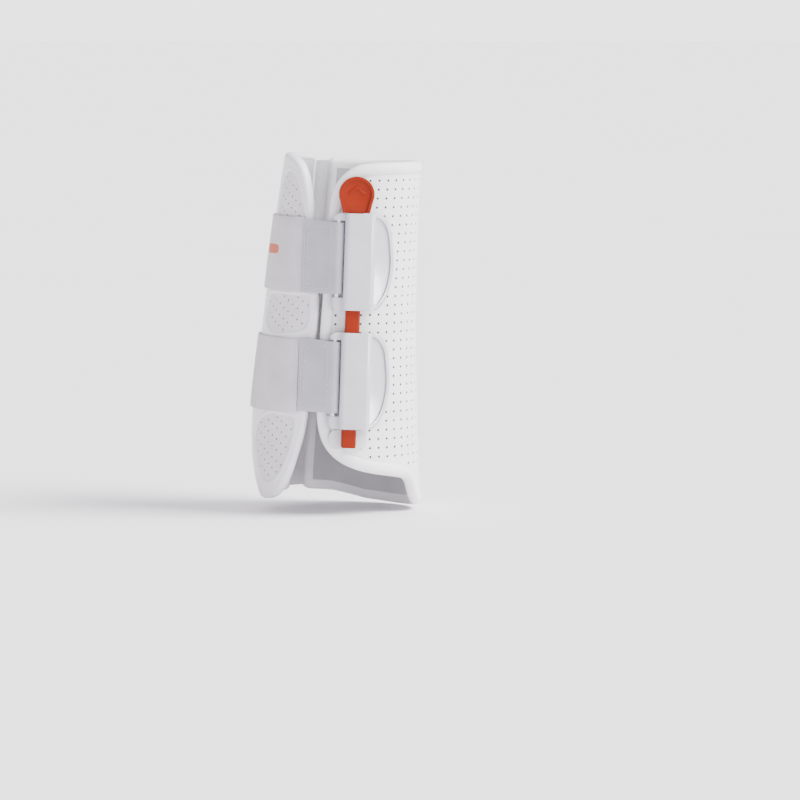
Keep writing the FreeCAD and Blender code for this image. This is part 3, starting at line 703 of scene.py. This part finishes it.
PRINT = grained("orange_print", (0.48, 0.115, 0.065), 0.0012, 0.10, 0.62, specular=0.3)
RAIL_PLASTIC = grained("rail_white", (0.66, 0.65, 0.68), 0.0010, 0.14, 0.38)
STEEL = brushed("steel", (0.62, 0.62, 0.63))

# ---------- the wrap's pieces ----------

# The three windows of the tendon half seen from the side, as part.py has them.
WINDOWS = {
    "upper": ((-48.4, 198.0), (-46.4, 216.0), (-43.4, 231.5), (-39.5, 236.0), (-35.6, 232.6), (-32.4, 222.0),
              (-29.4, 206.0), (-28.6, 198.0)),
    "middle": ((-56.8, 132.0), (-53.4, 151.0), (-25.6, 151.0), (-26.4, 134.0), (-30.0, 127.5),
               (-52.0, 124.5)),
    "lower": ((-64.8, 50.0), (-62.0, 63.0), (-54.0, 69.5), (-36.6, 67.6), (-37.4, 58.0), (-41.6, 43.0),
              (-46.6, 30.0), (-53.0, 22.0), (-58.6, 22.0), (-62.8, 34.0)),
}
# The inner side's windows have this share of the outer ones' width.
INNER_WINDOW_SHARE = 0.62


def window_loop(points, outer):
    """A window's edge on the flat drawing, with its corners rounded."""
    left, share = min(x for x, _ in points), 1.0 if outer else INNER_WINDOW_SHARE
    corners = np.array([(left + (x - left) * share, z) for x, z in points])
    rounded = []
    for k, corner in enumerate(corners):
        before, after = corners[k - 1], corners[(k + 1) % len(corners)]
        reach = min(4.0, 0.42 * np.linalg.norm(before - corner), 0.42 * np.linalg.norm(after - corner))
        rounded.append(round_corner(before, corner, after, reach))
    side = resample(np.concatenate(rounded), 1.1, closed=True)
    return np.array([(float(s_of_x(x, z, outer, not outer)), z) for x, z in side])


def outset(loop, by):
    """The closed loop moved outwards."""
    return loop - inward(loop) * by


# Sections of the borders: inset from the edge, and depth below the wrap's outer face.
FRONT_BORDER = (
    (8.6, 0.9), (8.2, 0.35), (7.4, -0.1), (6.0, -0.55), (4.4, -0.7), (2.8, -0.45), (1.4, 0.3), (0.5, 1.4),
    (0.05, 2.8), (0.0, 3.9), (0.15, 5.0), (0.8, 6.3), (1.8, 7.1), (3.2, 7.45), (5.0, 7.5), (7.0, 7.5),
)
TENDON_BORDER = (
    (3.0, 0.0), (2.4, 0.03), (1.6, 0.18), (0.9, 0.55), (0.35, 1.2), (0.05, 2.2), (0.0, 3.6), (0.1, 5.0),
    (0.6, 6.4), (1.6, 7.2), (2.6, 7.5), (3.4, 7.5),
)
WINDOW_EDGE = ((2.8, 0.0), (2.3, -0.14), (1.7, -0.24), (1.1, -0.16), (0.6, 0.08), (0.2, 0.42), (0.0, 0.78))


def build_front_half():
    """The perforated panel, its border and its lining."""
    loop = front_outline()
    seam, *dip_lines = inset_loops(loop, [FRONT_BORDER[0][0], 9.3, 10.1, 11.2])
    holes = panel_holes()
    holes = holes[distance_to(holes, seam) > 1.5]
    panel = skin("front_skin", seam, [WHITE_PANEL, HOLE_FLOOR], holes=holes, fill=6.2, seam=0.9,
                 extra=dip_lines)
    border = sweep("front_border", loop, FRONT_BORDER, WHITE_BORDER)
    tucked = inset_loops(loop, [5.0])[0]
    lining = skin("front_inner_lining", tucked, [LINING], fill=6.0, depth=LINING_DEPTH, inside=True)
    for piece, nodes, slot in ((panel, ("front_panel",), "perforated_panel"),
                               (border, ("front_binding",), "binding"),
                               (lining, ("front_lining", "front_foam"), "lining")):
        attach(piece, "front_half")
        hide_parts(*nodes)


def build_tendon_half():
    """The moulded shell, its border and lining, and its six mesh windows."""
    loop = tendon_outline()
    inner_edge = inset_loops(loop, [TENDON_BORDER[0][0]])[0]
    windows = {}
    for name, points in WINDOWS.items():
        for side in ("outer", "inner"):
            windows[f"{side}_mesh_{name}"] = window_loop(points, side == "outer")
    openings = [outset(window, WINDOW_EDGE[0][0]) for window in windows.values()]
    shell = skin("tendon_skin", inner_edge, [MOULDED], openings=openings, fill=4.0)
    border = sweep("tendon_border", loop, TENDON_BORDER, MOULDED)
    tucked = inset_loops(loop, [2.6])[0]
    lining = skin("tendon_inner_lining", tucked, [LINING], fill=6.0, depth=LINING_DEPTH, inside=True)
    for piece, nodes, slot in ((shell, ("tendon_shell",), "moulded_shell"),
                               (border, ("tendon_binding",), "binding"),
                               (lining, ("tendon_lining", "tendon_foam"), "lining")):
        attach(piece, "tendon_half")
        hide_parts(*nodes)
    for name, window in windows.items():
        rows = [outset(window, out) for out, _ in WINDOW_EDGE]
        verts = np.concatenate([on_face(row, depth) for row, (_, depth) in zip(rows, WINDOW_EDGE)])
        uvs = np.concatenate(rows) * MM
        faces = grid_faces(len(rows), len(window), closed_columns=True)
        frame_piece = new_piece(f"{name}_edge", verts, faces, [MOULDED], uvs=uvs)
        face_outwards(frame_piece)
        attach(frame_piece, "tendon_half")
        edge = outset(window, 0.3)
        dots = window_holes(edge.min(axis=0), edge.max(axis=0))
        dots = dots[distance_to(dots, window) > 1.1]
        panel = skin(f"{name}_panel", edge, [WINDOW, HOLE_FLOOR], holes=dots, hole_radius=0.6, hole_deep=0.6,
                     fill=3.0, depth=0.6)
        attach(panel, "tendon_half")
        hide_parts(name)


build_front_half()
build_tendon_half()


# ---------- gusset and straps ----------


def inner_side(x, z, depth):
    """A place on the inner side of the wrap, known by its x and z."""
    x, z, depth = np.broadcast_arrays(*(np.asarray(k, float) for k in (x, z, depth)))
    centre, long, wide = leg_section(z)
    turn = np.arccos(np.clip((x - centre) / long, -1, 1))
    return np.stack([centre + (long - depth) * np.cos(turn), (wide - depth) * np.sin(turn), z], axis=-1) * MM


def tube(rows, uvs_of, name, made):
    """A closed piece from rows of closed cross-sections, with flat ends."""
    count, around = len(rows), len(rows[0])
    verts = np.concatenate(rows)
    faces = grid_faces(count, around, closed_columns=True)
    faces += [tuple(range(around)), tuple(reversed(range((count - 1) * around, count * around)))]
    piece = new_piece(name, verts, faces, [made], uvs=uvs_of)
    face_outwards(piece)
    sharp_by_angle(piece, 50)
    return piece


def hinge_place(z):
    """The hinge line's place at a height, halfway through the wall."""
    return Vector(inner_side(hinge_x(z), z, 3.7).tolist())


def build_gusset():
    """The knitted strip on the inner side, along the hinge line where the wrap opens."""
    # across the hinge line, and depth
    section = ((1.6, 1.9), (1.2, 1.3), (-1.0, 1.5), (-4.5, 2.3), (-8.0, 1.5), (-10.2, 1.3), (-10.6, 1.9),
               (-10.6, 5.5), (-10.0, 6.2), (-4.5, 5.8), (1.0, 6.2), (1.6, 5.5))
    rows, uvs = [], []
    for z in np.arange(12.5, 241.0, 4.0):
        crease = 0.25 * math.sin(z * 0.9)
        rows.append(np.array([inner_side(hinge_x(z) + q, z, d + (crease if d < 3 else 0))
                              for q, d in section]))
        uvs += [(q * MM, z * MM) for q, _ in section]
    piece = tube(rows, uvs, "inner_gusset_knit", GUSSET)
    middle = hinge_place(131.0)
    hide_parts("inner_gusset")
    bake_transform(piece)


def strap_height(height, s, w):
    """The height of a place on a strap that is w above its middle line."""
    x = on_wrap(s, height)[..., 0] / MM
    return height - STRAP_SLOPE * x + w


def build_elastic(name, height):
    """A strap's elastic, from the hinge line round the back to its sewn end."""
    # height above the strap's middle line, and depth
    section = ((-25.5, -1.15), (-25.3, -1.75), (-24.7, -2.0), (-18.0, -2.0), (-9.0, -2.0), (0.0, -2.0),
               (9.0, -2.0), (18.0, -2.0), (24.7, -2.0), (25.3, -1.75), (25.5, -1.15), (25.3, -0.45),
               (24.7, -0.3), (0.0, -0.3), (-24.7, -0.3), (-25.3, -0.45))
    rows, uvs = [], []
    for share in np.linspace(0.0, 1.0, 46):
        row = []
        for w, depth in section:
            z = float(strap_height(height, -100.0, w))
            end = float(s_of_x(hinge_x(z) - 4.0, z, False, True))
            s = SEAM_S + share * (end - SEAM_S)
            z = float(strap_height(height, s, w))
            row.append(on_wrap(s, z, depth))
            uvs.append((s * MM, w * MM))
        rows.append(np.array(row))
    piece = tube(rows, uvs, f"{name}_elastic", ELASTIC)
    seam = Vector(on_wrap(SEAM_S, float(strap_height(height, SEAM_S, 0.0)), -1.0).tolist())
    back = Vector(on_wrap(SEAM_S - 6.0, float(strap_height(height, SEAM_S - 6.0, 0.0)), -1.0).tolist())
    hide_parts(f"{name}_elastic_strap")
    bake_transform(piece)


def tab_profile(rise):
    """The sewn strap end from the side, u and v: the plate off the seam and its loop round the bar."""
    seam, eye, radius, thick = np.array([-35.2, rise]), np.array([-11.2, 4.0]), 3.95, 2.0
    way = eye - seam
    length = np.linalg.norm(way)
    tilt = math.atan2(way[1], way[0]) + math.asin(radius / length)
    along = np.array([math.cos(tilt), math.sin(tilt)])
    inwards = np.array([along[1], -along[0]])
    touch = seam + along * math.sqrt(length ** 2 - radius ** 2)
    top = [seam + along * t for t in np.linspace(0.4, np.linalg.norm(touch - seam), 14)]
    start = math.atan2(*(touch - eye)[::-1])
    arc = [eye + radius * np.array([math.cos(a), math.sin(a)])
           for a in np.linspace(start, start - 4.2, 20)[1:]]
    low_end = touch + inwards * thick
    under = [low_end + (seam + inwards * thick + along * 0.8 - low_end) * t
             for t in np.linspace(0.12, 1.0, 14)]
    return np.array(top + arc + under), seam, along, inwards, np.linalg.norm(touch - seam)


def build_tab(name, rail, rise):
    """A strap's sewn end of webbing, looped round the clasp's bar."""
    profile, seam, along, inwards, reach = tab_profile(rise)
    direction = inward(profile)
    length = np.concatenate([[0], np.cumsum(np.linalg.norm(np.diff(profile, axis=0), axis=1))])
    rows, uvs = [], []
    for w, shrink in ((-22.1, 0.55), (-21.9, 0.2), (-21.3, 0.0), (-10.0, 0.0), (2.2, 0.0), (14.0, 0.0),
                      (25.7, 0.0), (26.3, 0.2), (26.5, 0.55)):
        line = profile + direction * shrink
        # The webbing is a little wider at the elastic than at the bar.
        away = np.clip((-14.0 - line[:, 0]) / 21.0, 0.0, 1.0)
        rows.append(rail.place(line[:, 0], line[:, 1], w + 1.7 * away * np.clip(w / 26.5, 0.0, 1.0)))
        uvs += [(a * MM, w * MM) for a in length]
    piece = tube(rows, uvs, f"{name}_tab_webbing", TWILL)
    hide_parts(f"{name}_strap_tab")
    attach(piece, f"{name}_strap_end")
    build_stitches(name, rail, seam, along, inwards, reach)


def build_stitches(name, rail, seam, along, inwards, reach):
    """Stitches round a box on the webbing, with a second line by the seam."""
    low, high, foot, head = 2.4, reach - 3.4, -18.6, 23.0
    corners = [(low, foot), (high, foot), (high, head), (low, head)]
    outline = resample(np.array(corners, float), 3.3, closed=True)
    second = resample(np.array([(low + 2.4, foot + 2.0), (low + 2.4, head - 2.0)], float), 3.3)
    path = [*zip(outline, np.roll(outline, -1, axis=0)), *zip(second[:-1], second[1:])]
    verts, faces, uvs = [], [], []
    for k, (here, after) in enumerate(path):
        way = (after - here) / np.linalg.norm(after - here)
        side = np.array([-way[1], way[0]])
        # A stitch is a short thread, thin at both ends.
        for t, thick in ((0.3, 0.08), (0.6, 0.27), (1.45, 0.32), (2.3, 0.27), (2.6, 0.08)):
            for angle in np.arange(6) * math.pi / 3:
                spot = here + way * t + side * math.cos(angle) * thick
                lift = 0.14 + math.sin(angle) * thick
                flat = seam + along * spot[0] - inwards * lift
                verts.append(rail.place(flat[0], flat[1], spot[1]))
                uvs.append((spot[0] * MM, spot[1] * MM))
        first = k * 30
        faces += grid_faces(5, 6, closed_columns=True, first=first)
        faces += [tuple(first + j for j in range(6)), tuple(first + 24 + j for j in reversed(range(6)))]
    stitches = new_piece(f"{name}_tab_stitches", verts, faces, [THREAD], uvs=uvs)
    face_outwards(stitches)
    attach(stitches, f"{name}_strap_end")


# ---------- hard parts ----------


def softened(cad_node, name, made, width, body):
    """A copy of a CAD node with its crisp edges rounded, which stands for it."""
    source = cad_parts[cad_node].data
    bm = bmesh.new()
    bm.from_mesh(source)
    bmesh.ops.remove_doubles(bm, verts=bm.verts, dist=2e-6)
    bmesh.ops.dissolve_limit(bm, angle_limit=math.radians(2.0), verts=bm.verts, edges=bm.edges)
    sharp = [e for e in bm.edges if len(e.link_faces) == 2 and e.calc_face_angle(0) > math.radians(28)]
    bmesh.ops.bevel(bm, geom=sharp, offset=width * MM, segments=3, profile=0.5, affect="EDGES",
                    clamp_overlap=True)
    mesh = bpy.data.meshes.new(name)
    bm.to_mesh(mesh)
    bm.free()
    mesh.materials.clear()
    mesh.materials.append(made)
    mesh.polygons.foreach_set("material_index", np.zeros(len(mesh.polygons), dtype=np.int32))
    mesh.polygons.foreach_set("use_smooth", np.full(len(mesh.polygons), True))
    mesh.validate()
    piece = bpy.data.objects.new(name, mesh)
    bpy.context.scene.collection.objects.link(piece)
    sharp_by_angle(piece, 40)
    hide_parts(cad_node)
    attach(piece, body)


def repaint(cad_node, made):
    """Gives a CAD node that shows as it is its material."""
    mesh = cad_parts[cad_node].data
    mesh.materials.clear()
    mesh.materials.append(made)
    for polygon in mesh.polygons:
        polygon.material_index = 0


def build_button_mark():
    """A plain raised chevron on the button's dish, in place of the mark."""
    line = np.array([(-5.2, -1.6), (0.0, 2.6), (5.2, -1.6)])
    round_end, elbow = 0.75, 0.95
    outline = []
    for end, first_angle, side in ((line[0], 2.25, -elbow), (line[2], -2.25, elbow)):
        outline += [end + round_end * np.array([math.cos(t + first_angle), math.sin(t + first_angle)])
                    for t in np.linspace(0, math.pi, 7)]
        outline.append(line[1] + np.array([0.0, side]))
    outline = np.array(outline)
    middle = outline.mean(axis=0)
    rows = []
    for height, share in ((7.7, 1.0), (8.15, 1.0), (8.32, 0.95), (8.38, 0.86)):
        here = middle + (outline - middle) * share
        rows.append(RAIL.place(here[:, 0], height, here[:, 1] + 91.6))
    uvs = np.concatenate([outline] * len(rows)) * MM
    piece = tube(rows, uvs, "button_chevron", ORANGE)
    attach(piece, "stick")


def build_print():
    """A plain orange patch printed on the upper strap, in place of the mark there."""
    z = UPPER_STRAP - STRAP_SLOPE * -48.0 + 2.5
    front = float(s_of_x(-45.4, z, True))
    around = 40
    angles = np.linspace(0, 2 * math.pi, around, endpoint=False)
    outline = np.stack([np.sign(np.cos(angles)) * np.abs(np.cos(angles)) ** 0.45 * 9.0,
                        np.sign(np.sin(angles)) * np.abs(np.sin(angles)) ** 0.6 * 3.3], axis=1)
    rings, faces = [np.array([[0.0, 0.0]])], [(0, 1 + k, 1 + (k + 1) % around) for k in range(around)]
    for k, share in enumerate((0.35, 0.7, 1.0)):
        rings.append(outline * share)
        if k:
            inner, outer = 1 + around * (k - 1), 1 + around * k
            faces += [(inner + j, outer + j, outer + (j + 1) % around, inner + (j + 1) % around)
                      for j in range(around)]
    flat = np.concatenate(rings) + np.array([front - 9.0, z])
    piece = new_piece("strap_print", on_face(flat, -2.05), faces, [PRINT], uvs=flat * MM)
    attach(piece, "tendon_half")


build_button_mark()
build_print()
build_gusset()
# Each strap has its rail frame, its height, and how far out its seam lies in that frame.
for strap, rail, height, rise in (("upper", UPPER, UPPER_STRAP, -7.0), ("lower", LOWER, LOWER_STRAP, -5.4)):
    build_elastic(strap, height)
    build_tab(strap, rail, rise)
    softened(f"{strap}_clasp", f"{strap}_hook_clasp", GLOSS, 0.55, f"{strap}_hook")
    repaint(f"{strap}_strap_bar", STEEL)
softened("release_stick", "pull_stick", ORANGE, 0.45, "stick")
softened("rail_base", "stick_rail", RAIL_PLASTIC, 0.15, "front_half")
repaint("rail_backing_plate", RAIL_PLASTIC)
for k in range(1, 5):
    repaint(f"rail_screw_{k}", STEEL)

# ---------- floor, lights and camera ----------

floor_material = material("pale_floor", (0.95, 0.92, 0.95), 0.7, specular=0.2)
tint(floor_material, noise(floor_material.node_tree, coordinates(floor_material.node_tree), 0.5),
     (0.94, 0.91, 0.94), (0.96, 0.93, 0.96))
floor = new_piece("floor", [(x, y, -0.001) for x, y in ((-60, -60), (60, -60), (60, 60), (-60, 60))],
                  [(0, 1, 2, 3)], [floor_material], smooth=False)

world = bpy.data.worlds.new("studio")
world.use_nodes = True
background = world.node_tree.nodes["Background"]
background.inputs["Color"].default_value = (0.95, 0.93, 0.97, 1.0)
bpy.context.scene.world = world
# The studio's walls are as bright as its floor where the two meet, and darker higher up.
direction = world.node_tree.nodes.new("ShaderNodeSeparateXYZ")
sky = world.node_tree.nodes.new("ShaderNodeTexCoord")
world.node_tree.links.new(sky.outputs["Generated"], direction.inputs[0])
fade = world.node_tree.nodes.new("ShaderNodeMapRange")
for socket, value in (("From Min", 0.02), ("From Max", 0.16), ("To Min", 3.25), ("To Max", 1.3)):
    fade.inputs[socket].default_value = value
world.node_tree.links.new(direction.outputs["Z"], fade.inputs["Value"])
world.node_tree.links.new(fade.outputs["Result"], background.inputs["Strength"])


def far_light(name, source, strength, width):
    """Soft light from far off, in the direction given, so that the whole floor is lit alike."""
    data = bpy.data.lights.new(name, "SUN")
    data.energy, data.angle = strength, math.radians(width)
    light = bpy.data.objects.new(name, data)
    light.rotation_mode = "QUATERNION"
    light.rotation_quaternion = Vector(source).to_track_quat("Z", "Y")
    bpy.context.scene.collection.objects.link(light)


far_light("key", (1.0, -0.22, 0.95), 8.6, 30.0)
far_light("side", (1.0, -0.75, 0.06), 2.4, 14.0)

camera_data = bpy.data.cameras.new("camera")
camera_data.lens, camera_data.sensor_width = 167.6, 36.0
camera_data.clip_start, camera_data.clip_end = 0.1, 50.0
camera = bpy.data.objects.new("camera", camera_data)
camera.location = (0.036, -2.570, 0.341)
camera.rotation_euler = (math.radians(90.0 - 5.9), 0.0, 0.0)
bpy.context.scene.collection.objects.link(camera)
bpy.context.scene.camera = camera
